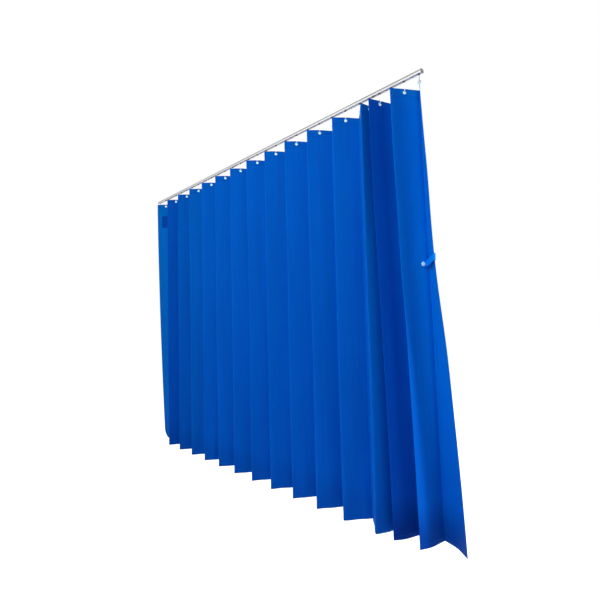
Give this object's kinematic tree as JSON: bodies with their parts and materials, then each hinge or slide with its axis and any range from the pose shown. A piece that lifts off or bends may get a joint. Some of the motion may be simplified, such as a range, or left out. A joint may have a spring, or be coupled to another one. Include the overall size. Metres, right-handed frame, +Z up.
{
  "type": "cubicle curtain",
  "caption": "Pleated hospital cubicle curtain hung by eyelets, hooks and gliders from a slotted ceiling track, with a parked stack and a tie-back strap.",
  "frame": {"origin": "on the ceiling plane, halfway between the outermost ceiling screw holes of the track", "axes": "+X along the track towards the anchored end, +Z up, -Y the side seen from the room"},
  "size_m": [2.5903, 0.1593, 2.0496],
  "materials": {
    "cloth": "woven polyester, soft sheen",
    "label_cloth": "plain woven patch, darker",
    "strap_cloth": "woven webbing, lighter",
    "hanger_plastic": "moulded, smooth",
    "stud_plastic": "moulded, glossy",
    "track_white": "white powder coat",
    "cap_plastic": "moulded, dark grey"
  },
  "bodies": {
    "curtain_root": {"track": "track_white", "end_cap_left": "cap_plastic", "end_cap_right": "cap_plastic", "stack_cloth": "cloth", "stack_hangers": "hanger_plastic", "strap_band": "strap_cloth", "stud_post": "stud_plastic"},
    "pleat_01": {"panel_01": "cloth", "hanger_01": "hanger_plastic"},
    "pleat_02": {"panel_02": "cloth", "hanger_02": "hanger_plastic"},
    "pleat_03": {"panel_03": "cloth", "hanger_03": "hanger_plastic"},
    "pleat_04": {"panel_04": "cloth", "hanger_04": "hanger_plastic"},
    "pleat_05": {"panel_05": "cloth", "hanger_05": "hanger_plastic"},
    "pleat_06": {"panel_06": "cloth", "hanger_06": "hanger_plastic"},
    "pleat_07": {"panel_07": "cloth", "hanger_07": "hanger_plastic"},
    "pleat_08": {"panel_08": "cloth", "hanger_08": "hanger_plastic"},
    "pleat_09": {"panel_09": "cloth", "hanger_09": "hanger_plastic"},
    "pleat_10": {"panel_10": "cloth", "hanger_10": "hanger_plastic"},
    "pleat_11": {"panel_11": "cloth", "hanger_11": "hanger_plastic"},
    "pleat_12": {"panel_12": "cloth", "hanger_12": "hanger_plastic"},
    "pleat_13": {"panel_13": "cloth", "hanger_13": "hanger_plastic"},
    "pleat_14": {"panel_14": "cloth", "hanger_14": "hanger_plastic"},
    "pleat_15": {"panel_15": "cloth", "hanger_15": "hanger_plastic"},
    "pleat_16": {"panel_16": "cloth", "hanger_16": "hanger_plastic"},
    "pleat_17": {"panel_17": "cloth", "hanger_17": "hanger_plastic"},
    "pleat_18": {"panel_18": "cloth", "hanger_18": "hanger_plastic"},
    "pleat_19": {"panel_19": "cloth", "hanger_19": "hanger_plastic"},
    "pleat_20": {"panel_20": "cloth", "hanger_20": "hanger_plastic"},
    "pleat_21": {"panel_21": "cloth", "hanger_21": "hanger_plastic"},
    "pleat_22": {"panel_22": "cloth", "hanger_22": "hanger_plastic"},
    "pleat_23": {"panel_23": "cloth", "hanger_23": "hanger_plastic"},
    "pleat_24": {"panel_24": "cloth", "hanger_24": "hanger_plastic", "label": "label_cloth"},
    "strap_end": {"strap_tab": "strap_cloth", "stud_cap": "stud_plastic"}
  },
  "joints": [
    {"name": "curtain_draw", "type": "hinge", "parent": "curtain_root", "child": "pleat_01", "pos_m": [0.9175, 0, -1.0496], "axis": [0, 0, -1], "range_deg": [0, 31.4]},
    {"name": "crease_01", "type": "hinge", "parent": "pleat_01", "child": "pleat_02", "pos_m": [0.873, 0.05403, -1.0496], "axis": [0, 0, 1], "range_deg": [0, 63.3]},
    {"name": "crease_02", "type": "hinge", "parent": "pleat_02", "child": "pleat_03", "pos_m": [0.784, -0.05403, -1.0496], "axis": [0, 0, -1], "range_deg": [0, 63.3]},
    {"name": "crease_03", "type": "hinge", "parent": "pleat_03", "child": "pleat_04", "pos_m": [0.695, 0.05403, -1.0496], "axis": [0, 0, 1], "range_deg": [0, 63.3]},
    {"name": "crease_04", "type": "hinge", "parent": "pleat_04", "child": "pleat_05", "pos_m": [0.606, -0.05403, -1.0496], "axis": [0, 0, -1], "range_deg": [0, 63.3]},
    {"name": "crease_05", "type": "hinge", "parent": "pleat_05", "child": "pleat_06", "pos_m": [0.517, 0.05403, -1.0496], "axis": [0, 0, 1], "range_deg": [0, 63.3]},
    {"name": "crease_06", "type": "hinge", "parent": "pleat_06", "child": "pleat_07", "pos_m": [0.428, -0.05403, -1.0496], "axis": [0, 0, -1], "range_deg": [0, 63.3]},
    {"name": "crease_07", "type": "hinge", "parent": "pleat_07", "child": "pleat_08", "pos_m": [0.339, 0.05403, -1.0496], "axis": [0, 0, 1], "range_deg": [0, 63.3]},
    {"name": "crease_08", "type": "hinge", "parent": "pleat_08", "child": "pleat_09", "pos_m": [0.25, -0.05403, -1.0496], "axis": [0, 0, -1], "range_deg": [0, 63.3]},
    {"name": "crease_09", "type": "hinge", "parent": "pleat_09", "child": "pleat_10", "pos_m": [0.161, 0.05403, -1.0496], "axis": [0, 0, 1], "range_deg": [0, 63.3]},
    {"name": "crease_10", "type": "hinge", "parent": "pleat_10", "child": "pleat_11", "pos_m": [0.072, -0.05403, -1.0496], "axis": [0, 0, -1], "range_deg": [0, 63.3]},
    {"name": "crease_11", "type": "hinge", "parent": "pleat_11", "child": "pleat_12", "pos_m": [-0.017, 0.05403, -1.0496], "axis": [0, 0, 1], "range_deg": [0, 63.3]},
    {"name": "crease_12", "type": "hinge", "parent": "pleat_12", "child": "pleat_13", "pos_m": [-0.106, -0.05403, -1.0496], "axis": [0, 0, -1], "range_deg": [0, 63.3]},
    {"name": "crease_13", "type": "hinge", "parent": "pleat_13", "child": "pleat_14", "pos_m": [-0.195, 0.05403, -1.0496], "axis": [0, 0, 1], "range_deg": [0, 63.3]},
    {"name": "crease_14", "type": "hinge", "parent": "pleat_14", "child": "pleat_15", "pos_m": [-0.284, -0.05403, -1.0496], "axis": [0, 0, -1], "range_deg": [0, 63.3]},
    {"name": "crease_15", "type": "hinge", "parent": "pleat_15", "child": "pleat_16", "pos_m": [-0.373, 0.05403, -1.0496], "axis": [0, 0, 1], "range_deg": [0, 63.3]},
    {"name": "crease_16", "type": "hinge", "parent": "pleat_16", "child": "pleat_17", "pos_m": [-0.462, -0.05403, -1.0496], "axis": [0, 0, -1], "range_deg": [0, 63.3]},
    {"name": "crease_17", "type": "hinge", "parent": "pleat_17", "child": "pleat_18", "pos_m": [-0.551, 0.05403, -1.0496], "axis": [0, 0, 1], "range_deg": [0, 63.3]},
    {"name": "crease_18", "type": "hinge", "parent": "pleat_18", "child": "pleat_19", "pos_m": [-0.64, -0.05403, -1.0496], "axis": [0, 0, -1], "range_deg": [0, 63.3]},
    {"name": "crease_19", "type": "hinge", "parent": "pleat_19", "child": "pleat_20", "pos_m": [-0.729, 0.05403, -1.0496], "axis": [0, 0, 1], "range_deg": [0, 63.3]},
    {"name": "crease_20", "type": "hinge", "parent": "pleat_20", "child": "pleat_21", "pos_m": [-0.818, -0.05403, -1.0496], "axis": [0, 0, -1], "range_deg": [0, 63.3]},
    {"name": "crease_21", "type": "hinge", "parent": "pleat_21", "child": "pleat_22", "pos_m": [-0.907, 0.05403, -1.0496], "axis": [0, 0, 1], "range_deg": [0, 63.3]},
    {"name": "crease_22", "type": "hinge", "parent": "pleat_22", "child": "pleat_23", "pos_m": [-0.996, -0.05403, -1.0496], "axis": [0, 0, -1], "range_deg": [0, 63.3]},
    {"name": "crease_23", "type": "hinge", "parent": "pleat_23", "child": "pleat_24", "pos_m": [-1.085, 0.05403, -1.0496], "axis": [0, 0, 1], "range_deg": [0, 63.3]},
    {"name": "strap_release", "type": "hinge", "parent": "curtain_root", "child": "strap_end", "pos_m": [1.20605, 0.05706, -0.8456], "axis": [0, 0, 1], "range_deg": [0, 45]}
  ],
  "couplings": [
    {"joint": "crease_01", "follows": "curtain_draw", "ratio": 2},
    {"joint": "crease_02", "follows": "curtain_draw", "ratio": 2},
    {"joint": "crease_03", "follows": "curtain_draw", "ratio": 2},
    {"joint": "crease_04", "follows": "curtain_draw", "ratio": 2},
    {"joint": "crease_05", "follows": "curtain_draw", "ratio": 2},
    {"joint": "crease_06", "follows": "curtain_draw", "ratio": 2},
    {"joint": "crease_07", "follows": "curtain_draw", "ratio": 2},
    {"joint": "crease_08", "follows": "curtain_draw", "ratio": 2},
    {"joint": "crease_09", "follows": "curtain_draw", "ratio": 2},
    {"joint": "crease_10", "follows": "curtain_draw", "ratio": 2},
    {"joint": "crease_11", "follows": "curtain_draw", "ratio": 2},
    {"joint": "crease_12", "follows": "curtain_draw", "ratio": 2},
    {"joint": "crease_13", "follows": "curtain_draw", "ratio": 2},
    {"joint": "crease_14", "follows": "curtain_draw", "ratio": 2},
    {"joint": "crease_15", "follows": "curtain_draw", "ratio": 2},
    {"joint": "crease_16", "follows": "curtain_draw", "ratio": 2},
    {"joint": "crease_17", "follows": "curtain_draw", "ratio": 2},
    {"joint": "crease_18", "follows": "curtain_draw", "ratio": 2},
    {"joint": "crease_19", "follows": "curtain_draw", "ratio": 2},
    {"joint": "crease_20", "follows": "curtain_draw", "ratio": 2},
    {"joint": "crease_21", "follows": "curtain_draw", "ratio": 2},
    {"joint": "crease_22", "follows": "curtain_draw", "ratio": 2},
    {"joint": "crease_23", "follows": "curtain_draw", "ratio": 2}
  ]
}
